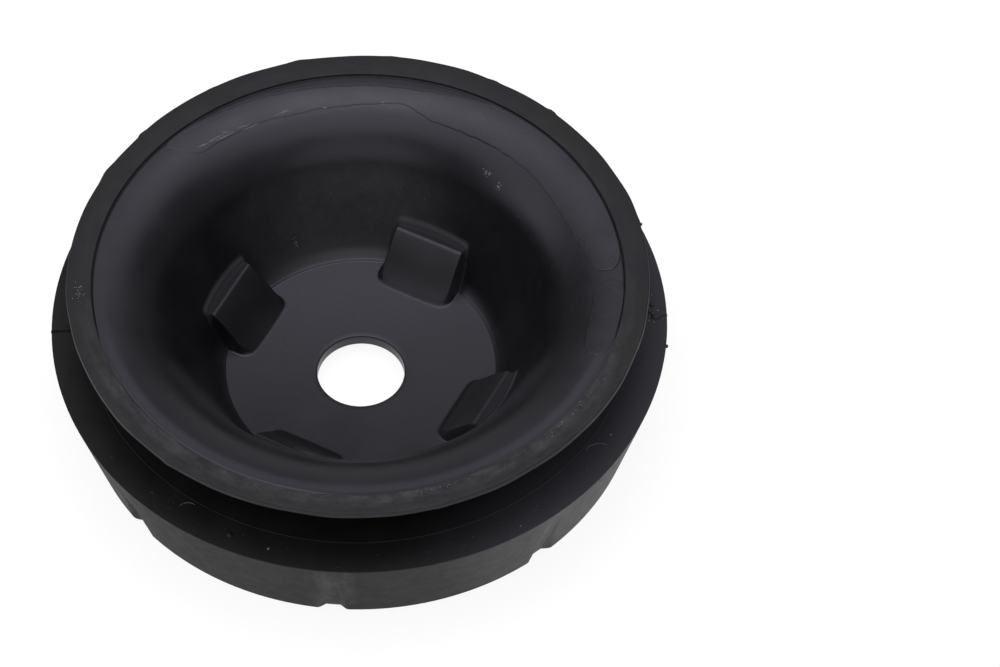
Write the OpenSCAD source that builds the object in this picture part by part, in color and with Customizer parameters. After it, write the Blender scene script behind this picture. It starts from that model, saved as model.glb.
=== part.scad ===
// Strut mount: a pressed steel cup vulcanised into one rubber moulding.
// It lies on the foot of its rubber ring, with the bowl of the cup open upwards.
// All sizes are in millimetres and degrees. The turning axis is Z.

/* [Steel cup] */
// Diameter of the punched hole for the piston rod
hole_d = 18; // [12:0.5:24]
// Thickness of the pressed sheet
sheet_t = 2.5; // [2:0.1:3]
// Height of the bowl's flat floor above the rubber foot
floor_h = 4.6; // [4:0.1:7]
// Radius of the flat floor, out to where it would meet the straight wall
floor_r = 28.3; // [27.6:0.1:29]
// Depth of the bowl, from its floor to the visible edge of the steel rim
bowl_depth = 30.5; // [28:0.5:33]
// Slope of the bowl's wall, from level
wall_angle = 64; // [61:0.5:66]
// Inside radius between the floor and the wall
corner_r = 8; // [4:0.5:8.5]
// Radius of the flare between the wall and the rim
flare_r = 17; // [12:0.5:19]
// Slope of the rim, from level
rim_angle = 4; // [1:0.5:8]
// Radius of the visible edge of the steel rim
rim_r = 54.2; // [53:0.1:55]
// How far the steel rim runs on under the rubber lip
rim_cover = 1.4; // [0.6:0.1:2]

/* [Centring pads] */
// Number of pads pressed into the corner of the bowl
pad_count = 4; // [3:1:5]
// Direction of the first pad, from +X
pad_phase = 62.5; // [0:0.5:90]
// Distance from the axis to the foot of a pad's face
pad_reach = 22; // [20:0.1:22.8]
// Width of a pad
pad_w = 16.5; // [12:0.5:18]
// Slope of a pad's face, from level
pad_face_angle = 50; // [48:0.5:54]
// Height of a pad's ridge above the floor
pad_ridge_h = 9.7; // [8:0.1:10.5]
// Slope of a pad's top, from its ridge to the wall
pad_top_angle = -4; // [-6:0.5:20]
// Radius of a pad's corners, seen along the axis
pad_corner_r = 2; // [1:0.1:4]
// Thickness of the sheet left at each side of the dent behind a pad
pad_side_t = 2; // [1.5:0.1:3]

/* [Rubber lip] */
// Width of the lip, outside the visible edge of the steel rim
lip_w = 5; // [3.8:0.1:6.8]
// Thickness of the lip at its edge
lip_t = 1.3; // [1.1:0.1:2.4]
// Height of the rubber's step above the steel rim
lip_step = 0.3; // [0.2:0.05:0.6]
// Radius of the lip's two edges
lip_edge_r = 0.35; // [0.1:0.05:0.4]
// Thickness of the rubber round the lower edge of the steel rim
lip_cover = 1; // [0.5:0.1:1.6]
// Slope of the lip's underside, from the rim's edge down to the groove
lip_under_angle = 20; // [12:1:24]

/* [Groove] */
// Radius of the rubber at the bottom of the groove
neck_r = 47.5; // [46:0.1:49]
// Fillet at the top of the groove
neck_top_fillet = 2.5; // [1:0.1:3]
// Fillet at the bottom of the groove
neck_low_fillet = 3; // [1:0.1:3.6]

/* [Rubber ring] */
// Radius of the ring's sharp upper edge
ring_r = 63; // [61:0.1:66]
// Height of the ring
ring_h = 21.3; // [19:0.1:23]
// Drop of the ring's upper face, from the groove to its edge
ring_fall = 0.4; // [0:0.1:1]
// Outer radius of the foot
foot_r = 57.2; // [55:0.1:59]
// Radius of the foot's edge
foot_edge_r = 0.8; // [0.2:0.1:1.5]

/* [Flutes] */
// Number of flutes in the ring's wall
flute_count = 8; // [4:1:12]
// Direction of the first flute, from +X
flute_phase = 40; // [0:1:90]
// Width of a flute's flat bottom
flute_w = 3; // [1.5:0.1:6]
// Slope of a flute's sides, away from square to the wall
flute_side_angle = 50; // [20:1:60]
// Depth of a flute at the foot
flute_depth = 1.3; // [0.5:0.1:2.2]
// Height at which a flute fades out
flute_h = 17.5; // [12:0.5:19]

/* [Underside] */
// Radius of the bare steel round the hole, inside the rubber skin
bare_r = 20.5; // [14:0.5:22]
// Thickness of the rubber skin under the floor
skin_t = 1.2; // [0.6:0.1:1.3]
// Radius of the skin's edge at the recess
skin_edge_r = 1; // [0.3:0.1:1.5]
// Inner radius of the recess in the underside
recess_in_r = 37.5; // [36:0.1:39]
// Outer radius of the recess in the underside
recess_out_r = 48; // [46:0.1:50]
// Depth of the recess
recess_depth = 9; // [5:0.5:11]
// Draft of the recess's two walls, from upright
recess_draft = 10; // [4:1:14]
// Fillet at the bottom of the recess
recess_fillet = 2.5; // [1:0.1:3]

/* [Hidden] */
$fn = 96;
// Largest distance between an arc and the straight pieces that make it
arc_tol = 0.02;
// Length by which a cutting shape runs past the surface that it cuts
over = 1;

// Depth of a pad's root in the sheet
pad_root = sheet_t / 2;
// Height and length of the outline that cuts a pad to its width. It runs past the wall.
pad_outline_h = floor_h + 2 * pad_ridge_h;
pad_outline_len = rim_r - pad_reach;

// Points of the cup's section, as [radius, height]
floor_corner = [floor_r, floor_h];
rim_edge = [rim_r, floor_h + bowl_depth];
flare_corner = meet(floor_corner, wall_angle, rim_edge, rim_angle);
rim_end = rim_edge + along(rim_angle) * rim_cover / cos(rim_angle);

// Points of the rubber's section
step_point = rim_edge + [0, lip_step];
lip_top = step_point + lip_w * [1, tan(rim_angle)];
lip_low = lip_top - [0, lip_t];
lip_root = rim_end + right_of(rim_angle) * sheet_t + [lip_cover, -lip_cover];
neck_top = [neck_r, lip_root[1] - (lip_root[0] - neck_r) * tan(lip_under_angle)];
ring_edge = [ring_r, ring_h];
neck_low = [neck_r, ring_h + ring_fall];
skin_low = floor_h - sheet_t - skin_t;
recess_run = recess_depth * tan(recess_draft);

// Unit vector at an angle from level
function along(a) = [cos(a), sin(a)];

// Unit vector square to it, to the right
function right_of(a) = [sin(a), -cos(a)];

function cross2(u, v) = u[0] * v[1] - u[1] * v[0];

function unit(v) = v / norm(v);

// Where the line through p at angle a meets the line through q at angle b
function meet(p, a, q, b) =
    p + along(a) * cross2(q - p, along(b)) / cross2(along(a), along(b));

// Corner q between two lines at angles a and b, with both lines moved d to the right
function moved_corner(q, a, b, d) = q + right_of((a + b) / 2) * d / cos((b - a) / 2);

// Sweep from angle a to angle b, the short way round
function sweep(a, b) = b - a > 180 ? b - a - 360 : b - a < -180 ? b - a + 360 : b - a;

// Points of an arc of radius r in the corner q between p and s
function fillet(p, q, s, r) =
    r == 0 ? [q] :
    let (
        u = unit(p - q),
        v = unit(s - q),
        half = acos(u * v) / 2,
        centre = q + unit(u + v) * r / sin(half),
        first = q + u * r / tan(half) - centre,
        last = q + v * r / tan(half) - centre,
        start = atan2(first[1], first[0]),
        turn = sweep(start, atan2(last[1], last[0])),
        n = ceil(abs(turn) / (2 * acos(1 - arc_tol / r)))
    )
    [for (i = [0:n]) centre + r * along(start + turn * i / n)];

// A closed outline from corners that are given as [point, fillet]
function rounded(corners) =
    let (n = len(corners))
    [for (i = [0:n - 1])
        each fillet(
            corners[(i + n - 1) % n][0],
            corners[i][0],
            corners[(i + 1) % n][0],
            corners[i][1]
        )];

// The corners of the cup's sheet at depth d from the inside of the bowl, from radius start_r on its
// floor to the point end on its rim
function sheet_line(d, start_r, end) = [
    [[start_r, floor_h - d], 0],
    [moved_corner(floor_corner, 0, wall_angle, d), corner_r + d],
    [moved_corner(flare_corner, wall_angle, rim_angle, d), flare_r - d],
    [end + right_of(rim_angle) * d, 0]
];

function reversed(list) = [for (i = [len(list) - 1:-1:0]) list[i]];

function sheet_section() = rounded(concat(
    sheet_line(0, hole_d / 2, rim_end),
    reversed(sheet_line(sheet_t, hole_d / 2, rim_end))
));

// The rubber is bonded to the back of the sheet, and laps over the edge of its rim
function rubber_section() = rounded(concat(
    reversed(sheet_line(sheet_t, bare_r, rim_end)),
    [
        [[bare_r, skin_low], 0],
        [[recess_in_r, skin_low], skin_edge_r],
        [[recess_in_r + recess_run, recess_depth], recess_fillet],
        [[recess_out_r - recess_run, recess_depth], recess_fillet],
        [[recess_out_r, 0], foot_edge_r],
        [[foot_r, 0], foot_edge_r],
        [ring_edge, 0],
        [neck_low, neck_low_fillet],
        [neck_top, neck_top_fillet],
        [lip_root, lip_cover],
        [lip_low, lip_edge_r],
        [lip_top, lip_edge_r],
        [step_point, 0],
        [rim_edge, 0],
        [rim_end, 0]
    ]
));

// Section of a pad: its face and top are moved in by inset, and its back lies at depth floor_root
// below the floor and wall_root behind the wall, with the sheet's own bend between them
function pad_section(inset, floor_root, wall_root) =
    let (
        foot = [pad_reach, floor_h],
        ridge = foot + pad_ridge_h * [1 / tan(pad_face_angle), 1],
        face = foot + right_of(pad_face_angle) * inset,
        top = ridge + right_of(pad_top_angle) * inset,
        wall = floor_corner + right_of(wall_angle) * wall_root,
        back = meet([0, floor_h - floor_root], 0, wall, wall_angle)
    )
    rounded([
        [meet(face, pad_face_angle, back, 0), 0],
        [meet(face, pad_face_angle, top, pad_top_angle), 0],
        [meet(top, pad_top_angle, back, wall_angle), 0],
        [back, corner_r + floor_root]
    ]);

// A rectangle with round corners, from x = 0
module round_rectangle(length, width, r) {
    translate([r, -width / 2]) square([length - 2 * r, width]);
    translate([0, r - width / 2]) square([length, width - 2 * r]);
    for (x = [r, length - r], y = [r - width / 2, width / 2 - r]) {
        translate([x, y]) circle(r);
    }
}

// One pad, or the dent behind it, as a straight section within an upright outline
module pad_form(inset, floor_root, wall_root, width, r) {
    intersection() {
        rotate([90, 0, 0])
            linear_extrude(height = 2 * width, center = true)
                polygon(pad_section(inset, floor_root, wall_root));
        translate([pad_reach, 0, 0])
            linear_extrude(height = pad_outline_h)
                round_rectangle(pad_outline_len, width, r);
    }
}

module each_pad() {
    for (i = [0:pad_count - 1]) {
        rotate(pad_phase + i * 360 / pad_count) children();
    }
}

module pads() {
    each_pad() pad_form(0, pad_root, pad_root, pad_w, pad_corner_r);
}

// The dents behind the pads, which the rubber fills. They end within the skin under the floor.
module dents() {
    dent_w = pad_w - 2 * pad_side_t;
    each_pad() pad_form(sheet_t, sheet_t + skin_t / 2, sheet_t + over, dent_w, pad_corner_r / 2);
}

// Flutes in the ring's wall: leaning wedges that sink into it towards the foot
module flutes() {
    wall_slope = (ring_r - foot_r) / ring_h;
    lean = atan(wall_slope + flute_depth / flute_h);
    reach = 2 * flute_depth;
    half = flute_w / 2;
    mouth = half + reach * tan(flute_side_angle);
    for (i = [0:flute_count - 1]) {
        rotate(flute_phase + i * 360 / flute_count)
            translate([foot_r - flute_depth, 0, 0])
                rotate([0, lean, 0])
                    translate([0, 0, -over])
                        linear_extrude(height = ring_h / cos(lean))
                            polygon([[0, -half], [reach, -mouth], [reach, mouth], [0, half]]);
    }
}

module steel_cup() {
    color([0.2, 0.2, 0.23])
        difference() {
            union() {
                rotate_extrude() polygon(sheet_section());
                pads();
            }
            dents();
        }
}

module rubber_body() {
    color([0.16, 0.16, 0.165])
        difference() {
            union() {
                rotate_extrude() polygon(rubber_section());
                dents();
            }
            flutes();
        }
}

steel_cup();
rubber_body();
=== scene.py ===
"""Strut mount: a pressed steel cup bonded into a rubber moulding, in soft studio light on white."""
import math

import bmesh
import bpy
import numpy as np
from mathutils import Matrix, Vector


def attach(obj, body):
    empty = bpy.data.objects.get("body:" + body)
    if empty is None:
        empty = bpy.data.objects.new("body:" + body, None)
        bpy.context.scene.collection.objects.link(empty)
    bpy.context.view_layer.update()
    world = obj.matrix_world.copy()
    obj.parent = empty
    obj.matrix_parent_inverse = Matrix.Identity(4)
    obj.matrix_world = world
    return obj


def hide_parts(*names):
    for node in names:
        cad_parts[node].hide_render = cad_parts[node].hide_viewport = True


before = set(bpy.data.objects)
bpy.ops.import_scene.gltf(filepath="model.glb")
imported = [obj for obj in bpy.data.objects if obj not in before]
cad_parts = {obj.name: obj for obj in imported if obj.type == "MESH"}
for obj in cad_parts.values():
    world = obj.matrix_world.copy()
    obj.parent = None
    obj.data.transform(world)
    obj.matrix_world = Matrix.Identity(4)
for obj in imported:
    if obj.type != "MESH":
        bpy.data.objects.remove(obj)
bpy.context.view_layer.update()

MM = 0.001

# Sizes of the CAD model, in millimetres and degrees
HOLE_R = 9.0
SHEET_T = 2.5
FLOOR_H = 4.6
FLOOR_R = 28.3
BOWL_DEPTH = 30.5
WALL_ANGLE = 64.0
CORNER_R = 8.0
FLARE_R = 17.0
RIM_ANGLE = 4.0
RIM_R = 54.2
RIM_COVER = 1.4
PAD_COUNT = 4
PAD_PHASE = 62.5
PAD_REACH = 22.0
PAD_W = 16.5
PAD_FACE_ANGLE = 50.0
PAD_RIDGE_H = 9.7
PAD_CORNER_R = 2.0
PAD_SIDE_T = 2.0
LIP_W = 5.0
LIP_T = 1.3
LIP_STEP = 0.3
LIP_EDGE_R = 0.35
LIP_COVER = 1.0
LIP_UNDER_ANGLE = 20.0
NECK_R = 47.5
NECK_TOP_FILLET = 2.5
NECK_LOW_FILLET = 3.0
RING_R = 63.0
RING_H = 21.3
RING_FALL = 0.4
FOOT_R = 57.2
FOOT_EDGE_R = 0.8
FLUTE_COUNT = 8
FLUTE_PHASE = 40.0
FLUTE_W = 3.0
FLUTE_SIDE_ANGLE = 50.0
FLUTE_DEPTH = 1.3
FLUTE_H = 17.5
BARE_R = 20.5
SKIN_T = 1.2
SKIN_EDGE_R = 1.0
RECESS_IN_R = 37.5
RECESS_OUT_R = 48.0
RECESS_DEPTH = 9.0
RECESS_DRAFT = 10.0
RECESS_FILLET = 2.5

# Fine form that only the picture needs
HOLE_EDGE_R = 0.35
PAD_LEN = 12.6
PAD_TOE_IN = 0.6
PAD_TOE_RISE = 0.7
PAD_TOE_ANGLE = 35.0
PAD_FACE_SLOPE = 50.5
PAD_CROWN_SLOPE = 41.0
PAD_CROWN_RUN = 2.2
PAD_CROWN_ROUND = 0.9
PAD_TOP_FALL = 14.0
PAD_RIDGE_OUT = 0.1
PAD_BREAK_ROUND = 1.4
PAD_TOE_ROUND = 0.15
PAD_TOP_ROUND = 2.5
PAD_RIDGE_ROUND = 0.6
PAD_SIDE_OUT = 0.5
PAD_SIDE_IN = 0.8
PAD_TOE_CORNER_R = 3.4
PAD_TOE_EDGE = 0.35
PAD_ROUND_RUN = (3.0, 7.0)
PAD_LEAST_RISE = 0.02
PAD_MARGIN_IN = 2.0
PAD_MARGIN_OUT = 1.5
PAD_BACK_MARGIN = 3.0
EVEN_RUN = 10.0
FLUTE_MARGIN = 1.0
CREASE_R = 27.9
CREASE_RISE = 1.3
CREASE_W = 0.4
CREASE_H = 0.05
BEND_R = 8.0
MOULD_LINE_R = 55.7
MOULD_LINE_W = 0.3
MOULD_LINE_H = 0.1
FLUTE_ROUND = 0.3
RIM_LINE_ZONE = 0.4
RIM_LINE_IN = 0.08
RIM_LINE_EDGES = (0.04, 0.26)
RIM_LINE_BACK_H = 0.34
RIM_LINE_FRONT_H = 0.14
RIM_LINE_BACK_END = (96, 112)
RIM_LINE_FRONT_START = (112, 122)
RIM_LINE_FRONT_END = (165, 178)
STEP_EDGE_R = 0.12
SKIN_INNER_R = 0.3
TRIM_UNEVEN = 0.07
TRIM_IN = 0.05
CLOSE = 1e-6

# Angles over which an edge stays sharp
CUP_SHARP = 50
RUBBER_SHARP = 35
FILM_SHARP = 60
PARTING_SHARP = 30
ALL_SMOOTH = 180

# Longest steps along the sections
PAD_STEP = 0.3
WALL_STEP = 0.9
FLOOR_STEP = 1.2
BACK_STEP = 1.2
BACK_LONG_STEP = 2.4
LIP_STEP_LENGTH = 0.45
NECK_STEP = 1.2
RING_STEP = 0.7
RIM_STEP = 0.5
UNDER_STEP = 1.5
INSIDE_ARC_STEP = 0.3
LIP_ARC_STEP = 0.25
WALL_ARC_STEP = 0.2
UNDER_ARC_STEP = 0.8
BEND_POINTS = 16
BEND_REACH = 12.0
BEND_TRIES = 2401
DISH_POINTS = 18

# Points round the axis: PAD_COUNT sectors with their points close together at a pad's two sides, or
# FLUTE_COUNT sectors with their points close together at a flute
PAD_SPLIT = (14, 20, 28, 20, 14)
FLUTE_SPLIT = (10, 28, 10)
AROUND = PAD_COUNT * sum(PAD_SPLIT)
FIRST_ANGLE = PAD_PHASE - 180.0 / PAD_COUNT
PAD_SIDE_ZONE = 1.6
FLUTE_ZONE = 8.0


# Sections


def along(angle):
    return np.array([math.cos(math.radians(angle)), math.sin(math.radians(angle))])


def right_of(angle):
    return np.array([math.sin(math.radians(angle)), -math.cos(math.radians(angle))])


def tan(angle):
    return math.tan(math.radians(angle))


def meet(p, a, q, b):
    """Where the line through p at angle a meets the line through q at angle b."""
    u, v, w = along(a), along(b), q - p
    return p + u * (w[0] * v[1] - w[1] * v[0]) / (u[0] * v[1] - u[1] * v[0])


def moved_corner(q, a, b, d):
    """Corner q between two lines at angles a and b, with both lines moved d to the right."""
    return q + right_of((a + b) / 2) * d / math.cos(math.radians((b - a) / 2))


def arc_in_corner(p, q, s, r, step):
    """Points of an arc of radius r in the corner q between p and s."""
    if r == 0:
        return [q]
    u = (p - q) / np.linalg.norm(p - q)
    v = (s - q) / np.linalg.norm(s - q)
    half = math.acos(float(np.clip(u @ v, -1, 1))) / 2
    centre = q + (u + v) / np.linalg.norm(u + v) * r / math.sin(half)
    first = q + u * r / math.tan(half) - centre
    last = q + v * r / math.tan(half) - centre
    start = math.atan2(first[1], first[0])
    turn = (math.atan2(last[1], last[0]) - start + math.pi) % (2 * math.pi) - math.pi
    n = max(4, math.ceil(abs(turn) * r / step))
    angles = start + turn * np.arange(n + 1) / n
    return [centre + r * np.array([math.cos(a), math.sin(a)]) for a in angles]


def traced(corners, arc_step, run_step):
    """An open line through corners given as (point, fillet).

    arc_step is the longest step on an arc, and run_step gives the longest straight step at a radius.
    """
    points = []
    last = len(corners) - 1
    for i, (q, r) in enumerate(corners):
        if i in (0, last):
            points.append(np.array(q))
        else:
            before, after = np.array(corners[i - 1][0]), np.array(corners[i + 1][0])
            points += arc_in_corner(before, np.array(q), after, r, arc_step)
    line = [points[0]]
    for a, b in zip(points, points[1:]):
        n = max(1, math.ceil(np.linalg.norm(b - a) / run_step((a[0] + b[0]) / 2)))
        line += [a + (b - a) * k / n for k in range(1, n + 1)]
    return np.array(line)


FLOOR_CORNER = np.array([FLOOR_R, FLOOR_H])
RIM_EDGE = np.array([RIM_R, FLOOR_H + BOWL_DEPTH])
FLARE_CORNER = meet(FLOOR_CORNER, WALL_ANGLE, RIM_EDGE, RIM_ANGLE)
RIM_END = RIM_EDGE + along(RIM_ANGLE) * RIM_COVER / math.cos(math.radians(RIM_ANGLE))
BACK_END = RIM_END + right_of(RIM_ANGLE) * SHEET_T
PAD_END = PAD_REACH + PAD_LEN


def bowl_step(r):
    """Longest step of the sheet's section: short where the pads are."""
    if PAD_REACH - PAD_MARGIN_IN < r < PAD_END + PAD_MARGIN_OUT:
        return PAD_STEP
    return WALL_STEP if r > FLOOR_R else FLOOR_STEP


def back_step(r):
    """Longest step of the sheet's back, which the rubber covers."""
    return BACK_STEP if PAD_REACH < r < PAD_END + PAD_BACK_MARGIN else BACK_LONG_STEP


def bend_line():
    """The bend from the floor's crease up to the wall: an arc through the crease that runs into the wall."""
    crease = np.array([CREASE_R, FLOOR_H + CREASE_RISE])
    inside = FLOOR_CORNER - right_of(WALL_ANGLE) * BEND_R
    tries = np.linspace(0, BEND_REACH, BEND_TRIES)
    centres = inside + tries[:, None] * along(WALL_ANGLE)
    centre = centres[np.argmin(np.abs(np.linalg.norm(crease - centres, axis=1) - BEND_R))]
    start = math.degrees(math.asin((CREASE_R - centre[0]) / BEND_R))
    return [(centre + right_of(a) * BEND_R, 0) for a in np.linspace(start, WALL_ANGLE, BEND_POINTS)]


def floor_z(r):
    """Height of the floor, which is a shallow dish up to its crease."""
    return FLOOR_H + CREASE_RISE * (r ** 2 - HOLE_R ** 2) / (CREASE_R ** 2 - HOLE_R ** 2)


inside_line = traced([
    ((HOLE_R, FLOOR_H - SHEET_T + HOLE_EDGE_R), 0),
    ((HOLE_R, FLOOR_H), HOLE_EDGE_R),
    *[((r, floor_z(r)), 0) for r in np.linspace(HOLE_R + 2, CREASE_R - 1, DISH_POINTS)],
    *bend_line(),
    (FLARE_CORNER, FLARE_R),
    (RIM_END, 0),
], INSIDE_ARC_STEP, bowl_step)
back_line = traced([
    ((HOLE_R, FLOOR_H - SHEET_T), 0),
    ((BARE_R, FLOOR_H - SHEET_T), 0),
    (moved_corner(FLOOR_CORNER, 0, WALL_ANGLE, SHEET_T), CORNER_R + SHEET_T),
    (moved_corner(FLARE_CORNER, WALL_ANGLE, RIM_ANGLE, SHEET_T), FLARE_R - SHEET_T),
    (BACK_END, 0),
], BACK_STEP, back_step)
past_hole = inside_line[inside_line[:, 0] > HOLE_R + HOLE_EDGE_R]


def inside_z(r):
    """Height of the bowl's inside at radius r, without its pads."""
    return np.interp(r, past_hole[:, 0], past_hole[:, 1])


# Points round the axis


def smooth(low, high, x):
    t = np.clip((x - low) / (high - low), 0, 1)
    return t * t * (3 - 2 * t)


def split_angles(knots, counts):
    """Angles from the first knot up to the last, with a count of even steps between each two knots."""
    parts = [np.linspace(a, b, n, endpoint=False) for a, b, n in zip(knots, knots[1:], counts)]
    return np.concatenate(parts)


def pad_angles(r):
    """Angles round the axis at radius r, close together at the sides of each pad."""
    at = np.clip(r, PAD_REACH, PAD_END + PAD_MARGIN_IN)
    side = math.degrees(math.asin(PAD_W / 2 / at))
    zone = math.degrees(PAD_SIDE_ZONE / at)
    half = 180.0 / PAD_COUNT
    one = split_angles((-half, -side - zone, -side + zone, side - zone, side + zone, half), PAD_SPLIT)
    return np.concatenate([PAD_PHASE + 360.0 / PAD_COUNT * i + one for i in range(PAD_COUNT)])


def flute_angles():
    """Angles round the axis, close together at each flute."""
    zone = math.degrees((FLUTE_W / 2 + FLUTE_DEPTH * tan(FLUTE_SIDE_ANGLE) + FLUTE_MARGIN) / FOOT_R)
    half = 180.0 / FLUTE_COUNT
    one = split_angles((-half, -zone, zone, half), FLUTE_SPLIT)
    return np.concatenate([FLUTE_PHASE + 360.0 / FLUTE_COUNT * i + one for i in range(FLUTE_COUNT)])


EVEN_ANGLES = FIRST_ANGLE + 360.0 * np.arange(AROUND) / AROUND
FLUTE_ANGLES = flute_angles()


def sheet_angles(r):
    """Angles for a ring of the sheet: by the pads inside, even at the rim."""
    even_from = PAD_END + PAD_BACK_MARGIN
    share = smooth(even_from, even_from + EVEN_RUN, r)
    return pad_angles(r) * (1 - share) + EVEN_ANGLES * share


def ring(r, z, angles):
    """A ring of points, as an array of x, y, z."""
    a = np.radians(angles)
    r = np.broadcast_to(r, a.shape)
    return np.stack([r * np.cos(a), r * np.sin(a), np.broadcast_to(z, a.shape)], axis=1)


def wave(angles, seed, counts):
    """A smooth uneven wave round the axis, about -1 to 1. counts are its cycles per turn."""
    rng = np.random.default_rng(seed)
    total = np.zeros_like(angles, dtype=float)
    for count in counts:
        total += np.sin(np.radians(angles) * count + rng.uniform(0, 2 * math.pi)) * rng.uniform(0.5, 1)
    return total / (len(counts) ** 0.5 * 0.55)


# Meshes


def mesh_object(name, points, faces, sharp_angle):
    """A smooth-shaded object in metres from points in millimetres, with edges over sharp_angle kept sharp."""
    mesh = bpy.data.meshes.new(name)
    mesh.from_pydata((np.asarray(points) * MM).tolist(), [], faces)
    mesh.validate()
    mesh.update()
    for polygon in mesh.polygons:
        polygon.use_smooth = True
    mesh.set_sharp_from_angle(angle=math.radians(sharp_angle))
    obj = bpy.data.objects.new(name, mesh)
    bpy.context.scene.collection.objects.link(obj)
    return obj


def grid_faces(rows, columns, wrap_rows, wrap_columns, start=0):
    """Quads of a grid of points that is stored row by row."""
    i = np.arange(rows if wrap_rows else rows - 1)[:, None]
    j = np.arange(columns if wrap_columns else columns - 1)[None, :]
    i2, j2 = (i + 1) % rows, (j + 1) % columns
    quads = np.stack([i * columns + j, i2 * columns + j, i2 * columns + j2, i * columns + j2], axis=-1)
    return (quads.reshape(-1, 4) + start).tolist()


def loop_object(name, rings, sharp_angle):
    """A closed body from rings that follow its section once round."""
    rings = np.array(rings)
    faces = grid_faces(len(rings), rings.shape[1], True, True)
    return mesh_object(name, rings.reshape(-1, 3), faces, sharp_angle)


# Steel cup


def smooth_min(a, b, k):
    return np.minimum(a, b) - np.maximum(k - np.abs(a - b), 0) ** 2 / (4 * k)


def smooth_max(a, b, k):
    return np.maximum(a, b) + np.maximum(k - np.abs(a - b), 0) ** 2 / (4 * k)


def inside_outline(d, t, length, width, r):
    """Distance to the edge of a rectangle with round corners, positive inside."""
    x = np.abs(d - length / 2) - length / 2 + r
    y = np.abs(t) - width / 2 + r
    outside = np.hypot(np.maximum(x, 0), np.maximum(y, 0)) + np.minimum(np.maximum(x, y), 0)
    return r - outside


def pad_rise(points, inset, width, r):
    """How far the pads lift the points of a ring. inset moves a pad's face and top into the sheet."""
    rise = np.zeros(len(points))
    for i in range(PAD_COUNT):
        c, s = along(PAD_PHASE + 360.0 / PAD_COUNT * i)
        d = points[:, 0] * c + points[:, 1] * s - PAD_REACH
        t = points[:, 1] * c - points[:, 0] * s
        past_ridge = d - PAD_RIDGE_H / tan(PAD_FACE_ANGLE) - PAD_RIDGE_OUT
        ridge_z = FLOOR_H + PAD_RIDGE_H
        toe = FLOOR_H + PAD_TOE_RISE + (d + PAD_TOE_IN) * tan(PAD_TOE_ANGLE)
        crown = ridge_z + past_ridge * tan(PAD_CROWN_SLOPE)
        crown_z = ridge_z - PAD_CROWN_RUN * tan(PAD_CROWN_SLOPE)
        middle = crown_z + (past_ridge + PAD_CROWN_RUN) * tan(PAD_FACE_SLOPE)
        face = smooth_max(toe, smooth_min(middle, crown, PAD_CROWN_ROUND), PAD_BREAK_ROUND)
        face = face - inset / along(PAD_FACE_SLOPE)[0]
        top = ridge_z - past_ridge * tan(PAD_TOP_FALL) - inset / along(PAD_TOP_FALL)[0]
        over = smooth_min(face, top, PAD_RIDGE_ROUND) - points[:, 2]
        round_k = PAD_TOP_ROUND + (PAD_TOE_ROUND - PAD_TOP_ROUND) * (1 - smooth(*PAD_ROUND_RUN, d))
        over = smooth_max(over, 0, round_k)
        in_front = PAD_TOE_IN + PAD_TOE_EDGE
        edge = inside_outline(d + in_front, t, PAD_LEN + in_front, width, r)
        rise = np.maximum(rise, over * smooth(-PAD_SIDE_OUT, PAD_SIDE_IN, edge))
    return rise


def rim_line_depth(angles):
    """Depth of the fine gap between the steel and the lip: open at the back, closed by film at the front."""
    turn = (angles + 90.0) % 360.0 - 180.0
    front_left = smooth(*RIM_LINE_FRONT_START, turn) * (1 - smooth(*RIM_LINE_FRONT_END, turn))
    at_back = 1 - smooth(*RIM_LINE_BACK_END, np.abs(turn))
    return RIM_LINE_BACK_H * at_back + RIM_LINE_FRONT_H * front_left


def cup_inside(r, z):
    """A ring of the bowl's inside, with its pads, crease and rim line."""
    angles = sheet_angles(r)
    points = ring(r, z, angles)
    if r > PAD_REACH - 4:
        rise = pad_rise(points, 0, PAD_W, PAD_TOE_CORNER_R)
        crease = CREASE_H * max(1 - abs(r - CREASE_R - CREASE_W / 2) / (CREASE_W / 2), 0)
        points[:, 2] += rise + crease * (rise < PAD_LEAST_RISE)
    if abs(r - RIM_R) < RIM_LINE_ZONE:
        points[:, 2] -= rim_line_depth(angles) * (1 - smooth(*RIM_LINE_EDGES, abs(r - RIM_R + RIM_LINE_IN)))
    return points


def cup_back(r, z):
    """A ring of the sheet's back, with the hollows behind its pads."""
    points = ring(r, z, sheet_angles(r))
    if r > PAD_REACH:
        points[:, 2] += pad_rise(points, SHEET_T, PAD_W - 2 * PAD_SIDE_T, PAD_CORNER_R / 2)
    return points


fine_radii = [RIM_R + x for x in (-0.36, -0.26, -0.18, -0.12, -0.06, 0.0, 0.08, 0.16, 0.24)]
fine_radii += [CREASE_R + x * CREASE_W for x in (-0.5, 0, 0.25, 0.5, 0.75, 1.0, 1.5)]
inside_rings = [
    tuple(p) for p in inside_line
    if abs(p[0] - RIM_R) > RIM_LINE_ZONE and abs(p[0] - CREASE_R - CREASE_W / 2) > CREASE_W
]
inside_rings += [(r, float(inside_z(r))) for r in fine_radii]
hole_edge_end = HOLE_R + HOLE_EDGE_R + CLOSE
low_part = [p for p in inside_rings if p[0] <= hole_edge_end]
high_part = sorted(p for p in inside_rings if p[0] > hole_edge_end)
cup_rings = [cup_inside(r, z) for r, z in low_part + high_part]
cup_rings += [cup_back(r, z) for r, z in back_line[::-1]]
cup = loop_object("cup_sheet", cup_rings, CUP_SHARP)

# Rubber moulding

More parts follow.
